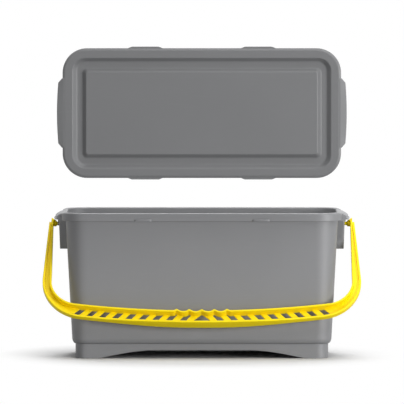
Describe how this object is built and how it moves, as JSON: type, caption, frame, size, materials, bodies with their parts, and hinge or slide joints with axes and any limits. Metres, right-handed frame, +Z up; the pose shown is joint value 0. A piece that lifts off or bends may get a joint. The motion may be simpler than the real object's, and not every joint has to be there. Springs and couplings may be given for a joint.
{
  "type": "bucket with lid",
  "caption": "Rectangular plastic cleaning bucket on an arched foot ring, with a lift-off tray lid and a slotted swinging handle pinned in end housings.",
  "frame": {"origin": "the middle of the underside of the tub's bottom panel, 24.5 mm above the level that the foot ring stands on", "axes": "+X along the bucket's long side, +Y from the front, where the handle hangs, to the back, +Z up"},
  "size_m": [0.6008, 0.3543, 0.5917],
  "materials": {
    "bucket_grey": "fine-grained satin moulded polypropylene, mid grey",
    "handle_yellow": "smooth satin moulded polypropylene, warm yellow",
    "lid_grey": "fine-grained satin moulded polypropylene, mid grey"
  },
  "bodies": {
    "bucket": {"bucket_body": "bucket_grey"},
    "handle": {"carrying_handle": "handle_yellow"},
    "lid": {"lid": "lid_grey"}
  },
  "joints": [
    {"name": "handle_swing", "type": "hinge", "parent": "bucket", "child": "handle", "pos_m": [0, 0, 0.2254], "axis": [-1, 0, 0], "range_deg": [0, 286.6]},
    {"name": "lid_close", "type": "hinge", "parent": "bucket", "child": "lid", "pos_m": [0, -0.2102, 0.233], "axis": [-1, 0, 0], "range_deg": [0, 90]}
  ]
}
